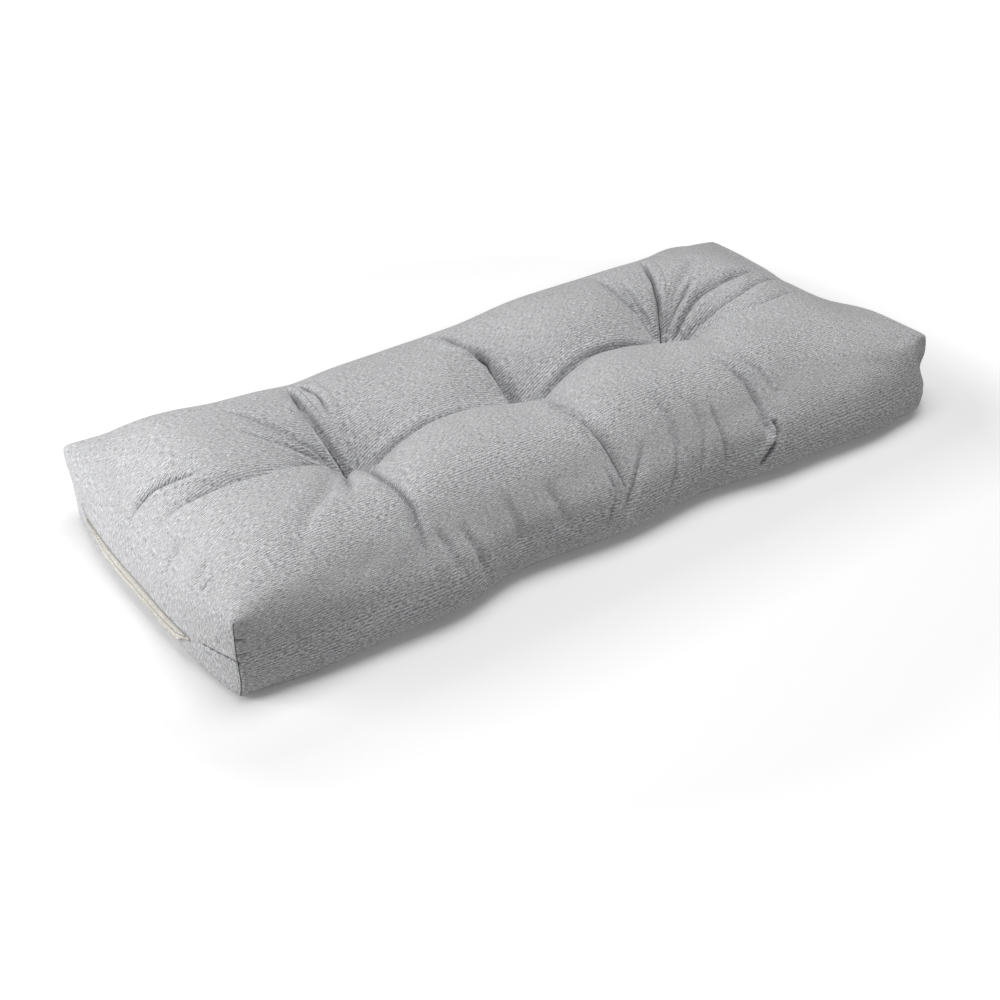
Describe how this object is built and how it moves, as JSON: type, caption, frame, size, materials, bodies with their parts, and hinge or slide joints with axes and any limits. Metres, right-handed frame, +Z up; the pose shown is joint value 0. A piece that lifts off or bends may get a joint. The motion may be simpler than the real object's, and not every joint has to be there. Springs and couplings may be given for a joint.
{
  "type": "bench cushion",
  "caption": "Long filled bench cushion with a tufted middle, puffed sides, boxed corners and a sewn closing strip at one end.",
  "frame": {"origin": "centre of the box round the cushion, on the surface that it lies on", "axes": "+X along the length away from the end with the closing strip, +Y from the front side to the back side, +Z up out of the seat face"},
  "size_m": [1.26, 0.5484, 0.1737],
  "materials": {
    "cover_cloth": "light grey heathered woven polyester, matt",
    "strip_cloth": "cream woven tape, matt, stitched along both edges"
  },
  "bodies": {
    "root": {"cushion": "cover_cloth", "closing_strip": "strip_cloth"}
  },
  "joints": []
}
